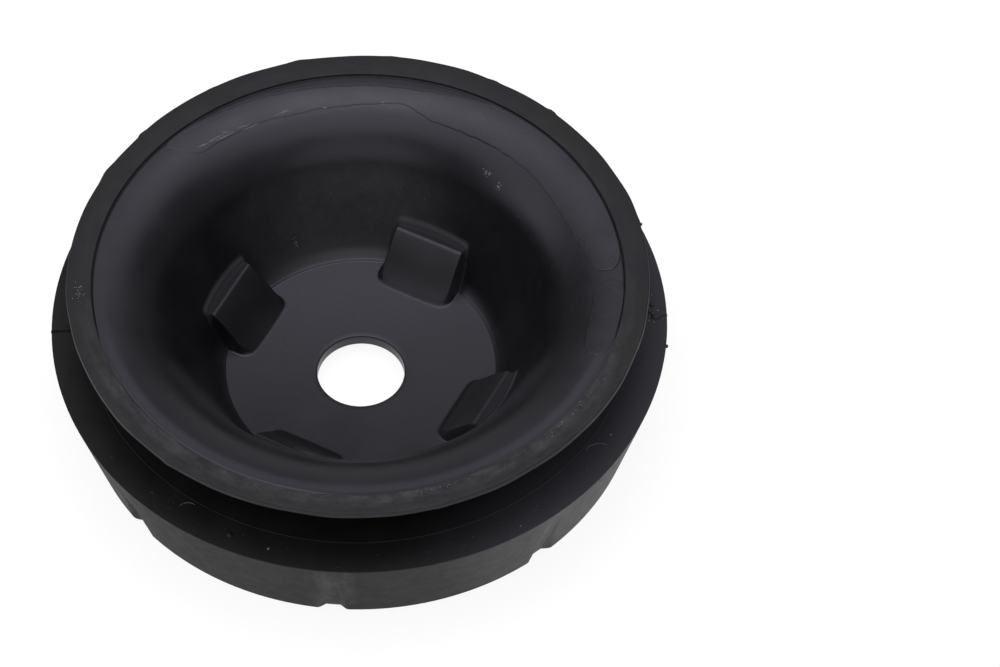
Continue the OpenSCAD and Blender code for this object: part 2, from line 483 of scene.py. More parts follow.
STEP_POINT = RIM_EDGE + np.array([0, LIP_STEP])
LIP_TOP = STEP_POINT + LIP_W * np.array([1, tan(RIM_ANGLE)])
LIP_LOW = LIP_TOP - np.array([0, LIP_T])
LIP_ROOT = BACK_END + LIP_COVER * np.array([1, -1])
NECK_TOP = np.array([NECK_R, LIP_ROOT[1] - (LIP_ROOT[0] - NECK_R) * tan(LIP_UNDER_ANGLE)])
NECK_LOW = np.array([NECK_R, RING_H + RING_FALL])
RING_EDGE = np.array([RING_R, RING_H])
SKIN_LOW = FLOOR_H - SHEET_T - SKIN_T
RECESS_RUN = RECESS_DEPTH * tan(RECESS_DRAFT)

# Torn flash along the lip's edge, as angle from +X, reach and half width in degrees
FLASH_PEAKS = (
    (15, 0.25, 0.8), (48, 0.5, 1.1), (62, 0.25, 1.5), (84, 0.15, 2.0), (103, 0.25, 2.5), (122, 0.15, 1.0),
    (140, 0.38, 1.2), (152, 0.35, 3.0), (174, 0.2, 2.0), (231, 0.2, 1.5), (287, 0.15, 2.0),
)


def ring_top(r):
    """A point on the upper face of the rubber ring."""
    share = (r - NECK_R) / (RING_R - NECK_R)
    return np.array([r, NECK_LOW[1] + share * (RING_H - NECK_LOW[1])])


def lip_edge(angles):
    """How far the lip's edge lies outside its round outline, with its uneven trim and torn flash."""
    moved = TRIM_UNEVEN * wave(angles, 5, (7, 13, 22, 31)) - TRIM_IN
    for angle, reach, half in FLASH_PEAKS:
        away = np.abs((angles - angle + 180.0) % 360.0 - 180.0)
        moved = moved + reach * np.clip(1 - away / half, 0, 1)
    return moved


def flute_cut(points):
    """Moves points of the ring's wall and foot in to the flutes."""
    slope = (RING_R - FOOT_R) / RING_H + FLUTE_DEPTH / FLUTE_H
    for i in range(FLUTE_COUNT):
        c, s = along(FLUTE_PHASE + 360.0 / FLUTE_COUNT * i)
        x = points[:, 0] * c + points[:, 1] * s
        t = points[:, 1] * c - points[:, 0] * s
        side = np.maximum(np.abs(t) - FLUTE_W / 2, 0) / tan(FLUTE_SIDE_ANGLE)
        flute = FOOT_R - FLUTE_DEPTH + slope * points[:, 2] + side
        cut = np.where((x > 0) & (np.abs(t) < FLUTE_ZONE), smooth_min(x, flute, FLUTE_ROUND) - x, 0)
        points[:, 0] += cut * c
        points[:, 1] += cut * s
    return points


def plain_rings(line, angles_of):
    return [ring(r, z, angles_of(r)) for r, z in line]


def rubber_rings():
    """Rings of the moulding, once round its section from the bond at the hole to the lip and back."""
    bond = [cup_back(r, z) for r, z in back_line if r >= BARE_R - CLOSE]
    rim_under = traced([(BACK_END, 0), (RIM_END, 0), (RIM_EDGE, 0)], RIM_STEP, lambda r: RIM_STEP)[1:]
    step_and_lip = traced([
        (RIM_EDGE, 0), (STEP_POINT, STEP_EDGE_R), (LIP_TOP, LIP_EDGE_R), (LIP_LOW, LIP_EDGE_R),
        (LIP_ROOT, LIP_COVER), (NECK_TOP, NECK_TOP_FILLET), (NECK_LOW, NECK_LOW_FILLET),
        (ring_top(MOULD_LINE_R - 2), 0),
    ], LIP_ARC_STEP, lambda r: LIP_STEP_LENGTH if r > RIM_R else NECK_STEP)[1:]
    rings = bond + plain_rings(rim_under, lambda r: EVEN_ANGLES)
    for r, z in step_and_lip:
        near_edge = smooth(LIP_ROOT[0] - 0.5, RIM_R + LIP_W - 0.4, r) * (z > NECK_TOP[1] + 2)
        rings.append(ring(r + lip_edge(EVEN_ANGLES) * near_edge, z, EVEN_ANGLES))
    line_up = np.array([0, MOULD_LINE_H])
    half = MOULD_LINE_W / 2
    mould_line = [
        (ring_top(MOULD_LINE_R - half - 0.1), 0), (ring_top(MOULD_LINE_R - half) + line_up, 0),
        (ring_top(MOULD_LINE_R + half) + line_up, 0), (ring_top(MOULD_LINE_R + half + 0.1), 0),
        (RING_EDGE, 0),
    ]
    for r, z in traced(mould_line, RING_STEP, lambda r: RING_STEP)[:-1]:
        share = smooth(MOULD_LINE_R, RING_R, r)
        rings.append(ring(r, z, EVEN_ANGLES * (1 - share) + FLUTE_ANGLES * share))
    wall = traced([
        (RING_EDGE - np.array([0.25, 0]), 0), (RING_EDGE, STEP_EDGE_R), ((FOOT_R, 0), FOOT_EDGE_R),
        ((RECESS_OUT_R, 0), FOOT_EDGE_R), ((RECESS_OUT_R - RECESS_RUN, RECESS_DEPTH), 0),
    ], WALL_ARC_STEP, lambda r: RING_STEP)[:-1]
    for r, z in wall:
        share = smooth(RECESS_OUT_R, FOOT_R - 3, r)
        rings.append(flute_cut(ring(r, z, EVEN_ANGLES * (1 - share) + FLUTE_ANGLES * share)))
    under = traced([
        ((RECESS_OUT_R - 0.6 * RECESS_RUN, 0.6 * RECESS_DEPTH), 0),
        ((RECESS_OUT_R - RECESS_RUN, RECESS_DEPTH), RECESS_FILLET),
        ((RECESS_IN_R + RECESS_RUN, RECESS_DEPTH), RECESS_FILLET),
        ((RECESS_IN_R, SKIN_LOW), SKIN_EDGE_R), ((BARE_R, SKIN_LOW), SKIN_INNER_R),
        ((BARE_R, FLOOR_H - SHEET_T), 0),
    ], UNDER_ARC_STEP, lambda r: UNDER_STEP)[1:-1]
    rings += plain_rings(under, sheet_angles)
    return rings


rubber = loop_object("rubber_moulding", rubber_rings(), RUBBER_SHARP)

# Thin films of rubber on the flange, as angle from +X, inner radius and outer radius
BACK_FILM = (
    (3.0, 50.2, 51.2), (3.2, 49.3, 51.9), (3.8, 48.6, 52.5), (5.4, 47.7, 53.4), (7.7, 46.9, 53.8),
    (10.3, 46.4, 53.9), (13.3, 45.9, 53.9), (17, 45.5, 53.9), (27, 45.3, 53.9), (43, 45.6, 53.9),
    (60, 45.4, 53.9), (70, 45.5, 53.9), (74, 46.2, 53.9), (80, 47.8, 53.9), (86, 47.3, 53.9),
    (100, 46.8, 53.9), (106, 46.7, 53.9), (116, 47.1, 53.9), (133, 47.2, 53.9), (136, 48.6, 53.9),
    (138, 51.0, 53.8), (139, 52.8, 53.4),
)
SIDE_FILM = (
    (-21.9, 51.0, 51.6), (-21.4, 50.0, 52.5), (-20.6, 49.2, 53.1), (-19.2, 48.3, 53.6), (-17, 47.7, 53.8),
    (-10, 47.4, 53.9), (-3, 47.6, 53.9), (0, 49.0, 53.2), (1, 51.0, 51.6),
)
BACK_WEDGE = (
    (54, 53.4, 53.9), (64, 51.9, 53.9), (72, 51.3, 53.9), (84, 51.0, 53.9), (100, 51.2, 53.9),
    (112, 51.8, 53.9), (124, 52.5, 53.9), (138, 53.4, 53.9),
)
# Films as name, outline, thickness at angles, width of the sloping edge, seed and unevenness
FILMS = (
    ("film_back", BACK_FILM, ((3, 0.22), (62, 0.2), (76, 0.09), (139, 0.09)), 0.2, 21, 0.05),
    ("film_side", SIDE_FILM, ((-22, 0.16), (-12, 0.12), (-4, 0.05), (1, 0.03)), 0.2, 22, 0.08),
    ("film_wedge", BACK_WEDGE, ((54, 0.24), (138, 0.24)), 0.7, 23, 0.06),
)
FILM_STEP = 0.2
FILM_ROOT = 0.12
FILM_SINK = 0.02
FILM_LEAST_W = 0.1
FILM_COLUMNS = 24


def curve(x, knots, values):
    """A smooth line through values at knots, without overshoot between them."""
    steps = np.diff(values) / np.diff(knots)
    before, after = np.concatenate([[0], steps]), np.concatenate([steps, [0]])
    same_way = before * after > 0
    slopes = np.where(same_way, 2 * before * after / np.where(same_way, before + after, 1), 0)
    i = np.clip(np.searchsorted(knots, x) - 1, 0, len(knots) - 2)
    width = knots[i + 1] - knots[i]
    t = (x - knots[i]) / width
    start = values[i] * (1 + 2 * t) * (1 - t) ** 2 + slopes[i] * width * t * (1 - t) ** 2
    return start + values[i + 1] * t * t * (3 - 2 * t) + slopes[i + 1] * width * t * t * (t - 1)


def film_object(name, outline, thickness, edge_w, seed, uneven):
    """A thin film that lies on the flange, inside its outline."""
    angle, inner, outer = np.array(outline).T
    fine = np.arange(angle[0], angle[-1] + FILM_STEP / 2, FILM_STEP)
    r_in = curve(fine, angle, inner) + uneven * wave(fine, seed, (23, 41, 66, 97))
    r_out = np.maximum(curve(fine, angle, outer), r_in + FILM_LEAST_W)
    thick = np.interp(fine, *np.array(thickness).T)
    lean_in = np.hypot(1, np.gradient(r_in, np.radians(fine)) / r_in)
    lean_out = np.hypot(1, np.gradient(r_out, np.radians(fine)) / r_out)
    shares = 0.5 - 0.5 * np.cos(np.linspace(0, math.pi, FILM_COLUMNS))
    rings = []
    for share in shares:
        r = r_in + (r_out - r_in) * share
        from_edge = np.minimum((r - r_in) / lean_in, (r_out - r) / lean_out)
        rings.append(ring(r, inside_z(r) + thick * smooth(0, edge_w, from_edge) - FILM_SINK, fine))
    for share in shares[-2:0:-1]:
        r = r_in + (r_out - r_in) * share
        rings.append(ring(r, inside_z(r) - FILM_ROOT, fine))
    faces = grid_faces(len(rings), len(fine), True, False)
    faces.append([i * len(fine) for i in range(len(rings))][::-1])
    faces.append([i * len(fine) + len(fine) - 1 for i in range(len(rings))])
    return mesh_object(name, np.concatenate(rings), faces, FILM_SHARP)


# Lines of thin flash where the mould parted, as angle from +X, height on the ring's top and on its wall
PARTING_LINES = ((182.4, 0.34, 0.16), (1.5, 0.22, 0.14))
PARTING_W = 0.4
PARTING_IN = 4.0
PARTING_TOP_POINTS = 24
PARTING_WALL_POINTS = 30
PARTING_WALL_ENDS = (RING_H - 0.3, 1.2)
SWEEP_ROOT = 0.15
SWEEP_TOP = 0.22


def sweep_object(name, runs, sharp_angle):
    """Low ridges on a surface. A run lists its points as place, way up from the surface, width and height."""
    points, faces = [], []
    for run in runs:
        start = len(points)
        places = np.array([place for place, up, width, height in run])
        along_run = np.gradient(places, axis=0)
        for (place, up, width, height), way in zip(run, along_run):
            side = np.cross(way, up)
            side = side / np.linalg.norm(side)
            section = ((0.5, -SWEEP_ROOT), (SWEEP_TOP, height), (-SWEEP_TOP, height), (-0.5, -SWEEP_ROOT))
            for across, lift in section:
                points.append(np.asarray(place) + side * across * width + np.asarray(up) * lift)
        faces += grid_faces(len(run), 4, False, True, start)
        faces.append([start, start + 1, start + 2, start + 3])
        last = start + 4 * (len(run) - 1)
        faces.append([last + 3, last + 2, last + 1, last])
    return mesh_object(name, points, faces, sharp_angle)


def parting_run(angle, on_top, on_wall):
    """Flash from the groove over the ring's top and down its wall."""
    c, s = along(angle)
    run = []
    for r in np.linspace(NECK_R + PARTING_IN, RING_R - 0.05, PARTING_TOP_POINTS):
        uneven = 1 + 0.35 * math.sin(r * 5.1 + angle) + 0.25 * math.sin(r * 11.7)
        run.append(((r * c, r * s, ring_top(r)[1]), (0, 0, 1), PARTING_W, on_top * uneven))
    slope = (RING_R - FOOT_R) / RING_H
    out = np.array([c, s, -slope]) / math.hypot(1, slope)
    for z in np.linspace(*PARTING_WALL_ENDS, PARTING_WALL_POINTS):
        r = FOOT_R + slope * z
        run.append(((r * c, r * s, z), out, PARTING_W, on_wall * (1 + 0.3 * math.sin(z * 3.3))))
    return run


def hair_run(places):
    """A fibre that lies on the ring's top. places are angle and radius."""
    knots = np.array(places)
    share = np.linspace(0, len(knots) - 1, HAIR_STEPS * (len(knots) - 1) + 1)
    run = []
    for angle, r in zip(*(np.interp(share, np.arange(len(knots)), column) for column in knots.T)):
        c, s = along(angle)
        run.append(((r * c, r * s, ring_top(r)[1]), (0, 0, 1), HAIR_W, HAIR_H))
    return run


HAIR_STEPS = 8
HAIR_W = 0.11
HAIR_H = 0.08
# Fibres on the ring's top, as angles and radii
HAIRS = (
    ((-127.1, 58.5), (-126.9, 57.7), (-126.3, 57.0), (-125.6, 56.65), (-124.8, 56.6)),
    ((-35.6, 56.6), (-34.4, 56.5), (-33.1, 57.3), (-32.4, 58.3), (-32.0, 59.3)),
)
# Crumbs as angle, radius, height of their foot, size and seed
RUBBER_CRUMBS = (
    (-114.9, 59.5, 21.35, (0.75, 0.6, 0.5), 1), (1.2, 60.6, 21.4, (1.2, 0.9, 0.7), 2),
    (2.6, 59.2, 21.4, (0.6, 0.5, 0.4), 3), (4.0, 60.0, 21.4, (0.5, 0.5, 0.35), 4),
    (-5.6, 62.8, 21.0, (0.55, 0.4, 0.35), 5), (7.0, 59.8, 21.4, (0.4, 0.3, 0.3), 6),
    (14.6, 59.3, 34.6, (0.5, 0.4, 0.4), 7), (-39.0, 62.3, 20.4, (0.5, 0.4, 0.3), 8),
)
DUST_CRUMBS = (
    (-106.9, 59.9, 21.4, (0.36, 0.24, 0.16), 11), (-70.0, 25.0, 5.5, (0.15, 0.2, 0.1), 22),
    (-57.5, 61.2, 21.4, (0.2, 0.16, 0.1), 12), (-29.5, 58.8, 21.4, (0.24, 0.2, 0.12), 13),
)
# Clusters of fine dust as angle, radius, spread in degrees, spread of radius, count and largest size
BOWL_DUST = (
    (51.0, 41.5, 1.6, 0.5, 16, 0.22), (46.0, 40.7, 1.0, 0.5, 12, 0.22), (116.2, 31.7, 1.2, 0.5, 10, 0.14),
    (70.0, 36.0, 40.0, 5.0, 14, 0.09),
)
LIP_DUST = (
    (183.5, 56.5, 3.5, 1.2, 26, 0.16), (-40.0, 55.2, 12.0, 0.7, 40, 0.13), (-75.0, 55.0, 12.0, 0.6, 26, 0.11),
)
RING_DUST = (
    (3.0, 60.0, 4.0, 1.2, 14, 0.22), (-60.0, 60.0, 25.0, 2.5, 24, 0.10), (-120.0, 60.0, 30.0, 2.5, 20, 0.09),
)
CRUMB_WAVES = 5
CRUMB_WAVE_SPREAD = 2.2
CRUMB_UNEVEN = 0.13
CRUMB_SIZES = (0.3, 1.0)
CRUMB_FLATNESS = (1, 1, 0.6)


def lip_z(r):
    """Height of the lip's top at radius r."""
    return STEP_POINT[1] + (r - RIM_R) * tan(RIM_ANGLE)


def scattered(clusters, height_at, seed):
    """Crumbs of clusters that lie on a surface of the given height."""
    rng = np.random.default_rng(seed)
    crumbs = []
    for angle, r, turn, reach, count, largest in clusters:
        for _ in range(count):
            place = r + reach * rng.normal() * 0.5
            size = largest * rng.uniform(*CRUMB_SIZES, 3) * CRUMB_FLATNESS
            turned = angle + turn * rng.normal() * 0.5
            crumbs.append((turned, place, float(height_at(place)), tuple(size), int(rng.integers(1000))))
    return crumbs


def crumb_object(name, crumbs):
    """Irregular crumbs that lie on a surface."""
    shape = bmesh.new()
    for angle, r, z, size, seed in crumbs:
        c, s = along(angle)
        new = bmesh.ops.create_icosphere(shape, subdivisions=2, radius=1.0)["verts"]
        rng = np.random.default_rng(seed)
        waves = rng.normal(0, CRUMB_WAVE_SPREAD, (CRUMB_WAVES, 3))
        phases = rng.uniform(0, 2 * math.pi, CRUMB_WAVES)
        for vert in new:
            away = np.array(vert.co)
            reach = 1 + CRUMB_UNEVEN * float(np.sin(waves @ away + phases).sum())
            x, y, up = away * reach * np.array(size)
            vert.co = (r * c + x * c - y * s, r * s + x * s + y * c, z + up)
    points = [tuple(vert.co) for vert in shape.verts]
    shape.verts.index_update()
    faces = [[vert.index for vert in face.verts] for face in shape.faces]
    shape.free()
    return mesh_object(name, points, faces, ALL_SMOOTH)


HIGHLIGHT_STROKE_H = 0.04
HIGHLIGHT_STROKE_END_W = 0.04
HIGHLIGHT_STROKE_MORE_W = 0.34
HIGHLIGHT_STROKE_LIFT = 0.1
HIGHLIGHT_STROKE_STRAY = 0.25
HIGHLIGHT_STROKE_POINTS = 15
# Painted highlights: pale strokes along the film's inner edge, as first angle, last angle and radius
FILM_HIGHLIGHT_STROKES = (
    (107.5, 112.5, 47.6), (108.5, 111.0, 47.9), (116.5, 121.5, 47.4), (119.0, 122.5, 47.7),
    (123.5, 129.0, 47.9), (126.0, 131.5, 48.1), (124.5, 126.5, 48.4), (130.5, 134.0, 48.6),
    (98.5, 100.0, 47.2), (84.0, 85.2, 48.0),
)


def highlight_stroke_run(first, last, r):
    """A fine pale stroke, a painted highlight, that thins out at its two ends."""
    run = []
    for share in np.linspace(0, 1, HIGHLIGHT_STROKE_POINTS):
        c, s = along(first + (last - first) * share)
        reach = r + HIGHLIGHT_STROKE_STRAY * math.sin(share * 2.5 + first)
        width = HIGHLIGHT_STROKE_END_W + HIGHLIGHT_STROKE_MORE_W * math.sin(math.pi * share) ** 2
        z = float(inside_z(reach)) + HIGHLIGHT_STROKE_LIFT
        run.append(((reach * c, reach * s, z), (0, 0, 1), width, HIGHLIGHT_STROKE_H))
    return run


film_highlight_strokes = sweep_object("painted_film_highlights", [highlight_stroke_run(*scuff) for scuff in FILM_HIGHLIGHT_STROKES], ALL_SMOOTH)
flash_lines = sweep_object("parting_lines", [parting_run(*line) for line in PARTING_LINES], PARTING_SHARP)
hairs = sweep_object("ring_fibres", [hair_run(places) for places in HAIRS], ALL_SMOOTH)
rubber_crumbs = crumb_object("rubber_crumbs", RUBBER_CRUMBS)
fine_dust = scattered(BOWL_DUST, inside_z, 31) + scattered(LIP_DUST, lip_z, 32)
fine_dust += scattered(RING_DUST, lambda r: ring_top(r)[1], 33)
dust_crumbs = crumb_object("dust_crumbs", [*DUST_CRUMBS, *fine_dust])
films = [film_object(*film) for film in FILMS]

# Materials

# A grain is a noise's scale, detail and roughness, a zone is a start and an end in millimetres, a layer is an
# amount and a colour, and a range is a start and an end, with what they map to if that isn't 0 and 1
DARK_TO_PALE = (0.35, 0.7)
STEEL_DARK, STEEL_PALE = (0.0046, 0.0045, 0.0054), (0.0080, 0.0077, 0.0092)
STEEL_SHEEN, STEEL_SHEEN_TINT = 0.5, (0.85, 0.83, 1.0)
STEEL_RELIEF = 0.00002
STEEL_DULL = 0.45
STEEL_FAR_ANGLE = 95
STEEL_DRAG_STRETCH = 0.012
STEEL_DRAG_ROUGH = 0.03
STEEL_GRAINS = {
    "cloudy": (70.0, 5.0, 0.6), "fine": (1500.0, 3.0, 0.55), "specks": (900.0, 2.0, 0.7),
    "mottle": (900.0, 5.0, 0.68), "drag": (900.0, 5.0, 0.6),
}
STEEL_RANGES = {
    "far_wall_reflection": (0.2, 0.8, 0.6, 1.15), "mottle": (0.30, 0.70, 0.70, 1.10), "specks": (0.70, 0.80),
    "drag": (0.35, 0.75), "far": (0.95, 0.30), "near": (0.3, 0.8),
    "corner": (0.2, 0.8, 0.5, 1.0), "rough": (0.3, 0.75, 0.30, 0.38),
}
STEEL_ZONES = {
    "wall_r": (28.5, 31.0), "wall_z": (29.0, 20.0),
    "crease_r": (27.9, 28.2), "crease_z": (12.5, 6.5),
    "rim_highlight_in": (50.8, 52.0), "rim_highlight_out": (53.8, 52.8),
    "front_y": (0.0, -30.0), "right_x": (-5.0, 15.0),
    "top_out": (30.1, 30.7), "top_side": (8.7, 8.0), "top_z": (15.3, 14.6),
    "face_out": (30.7, 30.1), "face_side": (9.4, 8.6), "face_z": (5.8, 6.6),
    "corner_in": (32.6, 33.0), "corner_out": (33.7, 33.3), "corner_side": (8.5, 7.8),
    "near_in": (30.0, 33.0), "near_out": (45.0, 40.0),
}
# Of these layers, the far wall, the crease, the rim line and the right pad faces carry painted light, and the
# pad tops carry painted shade
STEEL_LAYERS = {
    "far_wall_reflection": (1.0, (0.0270, 0.0265, 0.0270)), "crease_reflection": (0.5, (0.052, 0.051, 0.052)),
    "rim_highlight": (0.7, (0.0220, 0.0210, 0.0300)), "specks": (0.35, (0.05, 0.05, 0.052)),
    "pad_face_right_light": (1.0, (0.0165, 0.0162, 0.0175)), "pad_top_shade": (0.8, (0.0030, 0.0030, 0.0032)),
    "pad_end_pale": (1.0, (0.034, 0.034, 0.036)),
}

FILM_DARK, FILM_PALE = (0.0070, 0.0068, 0.0088), (0.0135, 0.0130, 0.0160)
FILM_SHEEN_TINT = (0.86, 0.84, 1.0)
FILM_RELIEF = 0.00004
FILM_ROUGH_RANGE = (0.3, 0.75)
FILM_GRAINS = {"cloudy": (120.0, 6.0, 0.62), "fine": (1700.0, 3.0, 0.55)}

RUBBER_DARK, RUBBER_PALE = (0.0052, 0.0052, 0.0056), (0.0090, 0.0089, 0.0092)
RUBBER_SHEEN, RUBBER_SHEEN_TINT = 0.22, (0.93, 0.92, 1.0)
RUBBER_RELIEF = 0.00004
LIP_WARM, LIP_COOL, LIP_TINGE = (0.0200, 0.0194, 0.0190), (0.0190, 0.0192, 0.0260), 0.5
WORN_LEFT, WORN_RIGHT = (0.044, 0.033, 0.030), (0.042, 0.042, 0.046)
LIP_EDGE_DUST = 0.35
LIP_STRETCH = 0.020
WALL_STRETCH = 0.060
FLUTE_HIGHLIGHT_ANGLES = (6.0, 2.4)
RUBBER_GRAINS = {
    "cloudy": (90.0, 6.0, 0.62), "blotch": (420.0, 5.0, 0.65), "fine": (2200.0, 3.0, 0.55),
    "streaks": (500.0, 6.0, 0.62), "speckle": (1600.0, 3.0, 0.7), "tinge": (160.0, 3.0, 0.55),
    "scuff": (42.0, 1.5, 0.5), "rubbed": (60.0, 3.0, 0.5), "flute_highlight_streaks": (160.0, 4.0, 0.6),
}
RUBBER_RANGES = {
    "tinge": (0.40, 0.62), "lip_dust": (0.34, 0.70), "dust_near": (0.0, 1.0, 0.22, 0.95),
    "wall_right": (0.0, 1.0, 0.0, 0.85), "scuff": (0.40, 0.70), "worn_right": (0.0, 1.0, 0.26, 0.4),
    "ring_right": (0.15, 1.0), "rubbed": (0.46, 0.80), "rubbed_right": (0.0, 1.0, 0.14, 0.35),
    "flute_highlight_streaks": (0.42, 0.70), "dull_left": (0.3, 0.8, 0.11, 0.0), "rough": (0.3, 0.7, 0.50, 0.58),
}
RUBBER_ZONES = {
    "lip_r": (52.8, 54.4), "lip_z": (33.5, 34.8), "lip_edge": (57.8, 56.0),
    "wall_r": (56.0, 57.2), "wall_z": (21.3, 20.5),
    "ring_r": (49.0, 52.0), "ring_z": (24.5, 22.5),
    "near_y": (10.0, -45.0), "right_x": (-10.0, 50.0),
}
# Of these layers, the wall and ring ones carry painted light on the right, and the flute one carries painted
# highlights
RUBBER_LAYERS = {
    "lip_dust": (1.0, (0.055, 0.054, 0.058)), "wall": (1.0, (0.030, 0.029, 0.028)),
    "ring": (1.0, (0.0290, 0.0280, 0.0350)), "rubbed": (1.0, (0.085, 0.083, 0.080)),
    "flute_highlight": (0.45, (0.120, 0.120, 0.128)),
}

DUST_DARK, DUST_PALE = (0.09, 0.09, 0.092), (0.20, 0.198, 0.198)
DUST_SHEEN = 0.3
DUST_RELIEF = 0.00005
DUST_GRAIN = (3000.0, 4.0, 0.6)
DUST_RANGE = (0.3, 0.7)
DUST_ROUGHNESS = (0.8, 0.95)


class Nodes:
    """A small helper that builds a node tree."""

    def __init__(self, tree):
        self.tree = tree
        tree.nodes.clear()

    def add(self, kind, inputs=None, **settings):
        node = self.tree.nodes.new(kind)
        for key, value in settings.items():
            setattr(node, key, value)
        for key, value in (inputs or {}).items():
            self.put(node.inputs[key], value)
        return node

    def put(self, socket, value):
        if isinstance(value, bpy.types.NodeSocket):
            self.tree.links.new(value, socket)
        else:
            socket.default_value = value

    def math(self, operation, a, b=0.0, clamp=False):
        return self.add("ShaderNodeMath", {0: a, 1: b}, operation=operation, use_clamp=clamp).outputs[0]

    def times(self, first, *others):
        """Product of several values."""
        for other in others:
            first = self.math("MULTIPLY", first, other)
        return first

    def weighted(self, *pairs):
        """Sum of values, each times its weight."""
        terms = [self.math("MULTIPLY", value, weight) for value, weight in pairs]
        total = terms[0]
        for term in terms[1:]:
            total = self.math("ADD", total, term)
        return total

    def span(self, value, low, high, to_low=0.0, to_high=1.0):
        """Maps low..high smoothly to to_low..to_high."""
        node = self.add("ShaderNodeMapRange", interpolation_type="SMOOTHSTEP")
        items = {"Value": value, "From Min": low, "From Max": high, "To Min": to_low, "To Max": to_high}
        for key, item in items.items():
            self.put(node.inputs[key], item)
        return node.outputs[0]

    def within(self, value, zone, to_low=0.0, to_high=1.0):
        """The same over a zone in millimetres."""
        return self.span(value, zone[0] * MM, zone[1] * MM, to_low, to_high)

    def noise(self, vector, grain):
        scale, detail, roughness = grain
        inputs = {"Vector": vector, "Scale": scale, "Detail": detail, "Roughness": roughness}
        return self.add("ShaderNodeTexNoise", inputs).outputs[0]

    def vector(self, x, y, z=0.0):
        return self.add("ShaderNodeCombineXYZ", {0: x, 1: y, 2: z}).outputs[0]

    def mix(self, share, a, b):
        node = self.add("ShaderNodeMix", data_type="RGBA")
        self.put(node.inputs[0], share)
        self.put(node.inputs[6], a)
        self.put(node.inputs[7], b)
        return node.outputs[2]

    def laid_over(self, base, share, layer):
        """The base colour with a layer over it, as strong as the share and the layer's amount say."""
        amount, tint = layer
        return self.mix(self.math("MULTIPLY", share, amount), base, colour(*tint))


def colour(r, g, b):
    return (r, g, b, 1.0)


def new_material(name):
    material = bpy.data.materials.new(name)
    material.use_nodes = True
    return material, Nodes(material.node_tree)


def finish_material(n, base, roughness, bump_height, bump_distance, **sockets):
    """Principled surface with the given colour, roughness and bump."""
    bump = n.add("ShaderNodeBump", {"Height": bump_height, "Distance": bump_distance, "Strength": 1.0})
    inputs = {"Base Color": base, "Roughness": roughness, "Normal": bump.outputs[0]}
    shader = n.add("ShaderNodeBsdfPrincipled", inputs)
    for key, value in sockets.items():
        shader.inputs[key.replace("_", " ")].default_value = value
    n.add("ShaderNodeOutputMaterial", {0: shader.outputs[0]})


def object_point(n):
    return n.add("ShaderNodeTexCoord").outputs["Object"]


def polar(n, point):
    """The x, y and height of a point, its radius and its angle in radians."""
    x, y, height = n.add("ShaderNodeSeparateXYZ", {0: point}).outputs
    radius = n.add("ShaderNodeVectorMath", {0: n.vector(x, y)}, operation="LENGTH").outputs["Value"]
    return x, y, height, radius, n.math("ARCTAN2", y, x)


def from_nearest(n, angle, phase, count):
    """Angle from the nearest of count even places round the axis, the first of them at phase degrees."""
    step = 2 * math.pi / count
    turned = n.math("ADD", n.math("SUBTRACT", angle, math.radians(phase)), step / 2)
    return n.math("SUBTRACT", n.math("FLOORED_MODULO", turned, step), step / 2)


